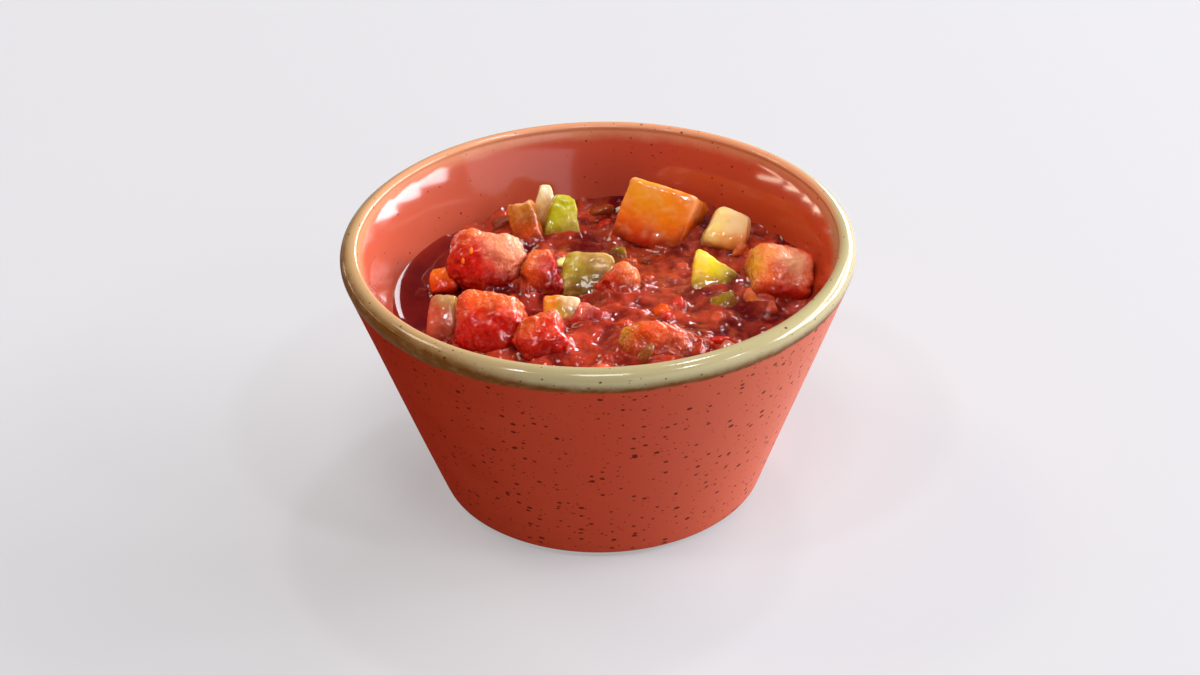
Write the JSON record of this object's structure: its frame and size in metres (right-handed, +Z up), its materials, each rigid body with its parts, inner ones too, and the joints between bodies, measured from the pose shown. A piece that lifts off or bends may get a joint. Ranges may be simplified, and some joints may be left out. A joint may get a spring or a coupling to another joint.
{
  "type": "bowl of pico de gallo",
  "caption": "Small glazed stoneware bowl, round with straight leaning sides, holding chunky wet pico de gallo of tomato, squash, pepper and onion in sauce.",
  "frame": {"origin": "middle of the foot ring the bowl stands on, at the height of the surface below it", "axes": "+Z up along the axis of the bowl, -Y towards the side that the picture is taken from, +X to its right"},
  "size_m": [0.094, 0.094, 0.05],
  "materials": {
    "bowl_glaze": "glossy glazed stoneware in coral red with fine dark specks, a pale sage glaze on the lip and an unglazed foot",
    "sauce": "wet, glossy, pulpy cooked tomato sauce",
    "tomato": "wet cooked tomato flesh and skin",
    "squash": "wet smooth cooked squash",
    "pepper_red": "wet cooked pepper",
    "pepper_orange": "wet cooked pepper",
    "pepper_yellow": "wet cooked pepper with a textured inner side",
    "pepper_green": "wet cooked pepper",
    "onion": "wet, slightly see-through cooked onion"
  },
  "bodies": {
    "root": {"bowl": "bowl_glaze", "sauce": "sauce", "squash_cube": "squash", "onion_right": "onion", "tomato_right": "tomato", "pepper_yellow": "pepper_yellow", "pepper_red_right": "pepper_red", "pepper_olive_right": "pepper_green", "tomato_left": "tomato", "pepper_red_left": "pepper_red", "tomato_middle": "tomato", "pepper_green_middle": "pepper_green", "tomato_dark": "tomato", "pepper_orange_back": "pepper_orange", "onion_back": "onion", "pepper_green_back": "pepper_green", "onion_front_left": "onion", "tomato_front_left": "tomato", "tomato_front_middle": "tomato", "pepper_olive_front": "pepper_orange", "tomato_front_pulp": "tomato", "tomato_front_right": "tomato", "tomato_near_left": "tomato", "pepper_green_near": "pepper_green", "tomato_near_middle": "tomato", "onion_near": "onion", "squash_near": "squash"}
  },
  "joints": []
}
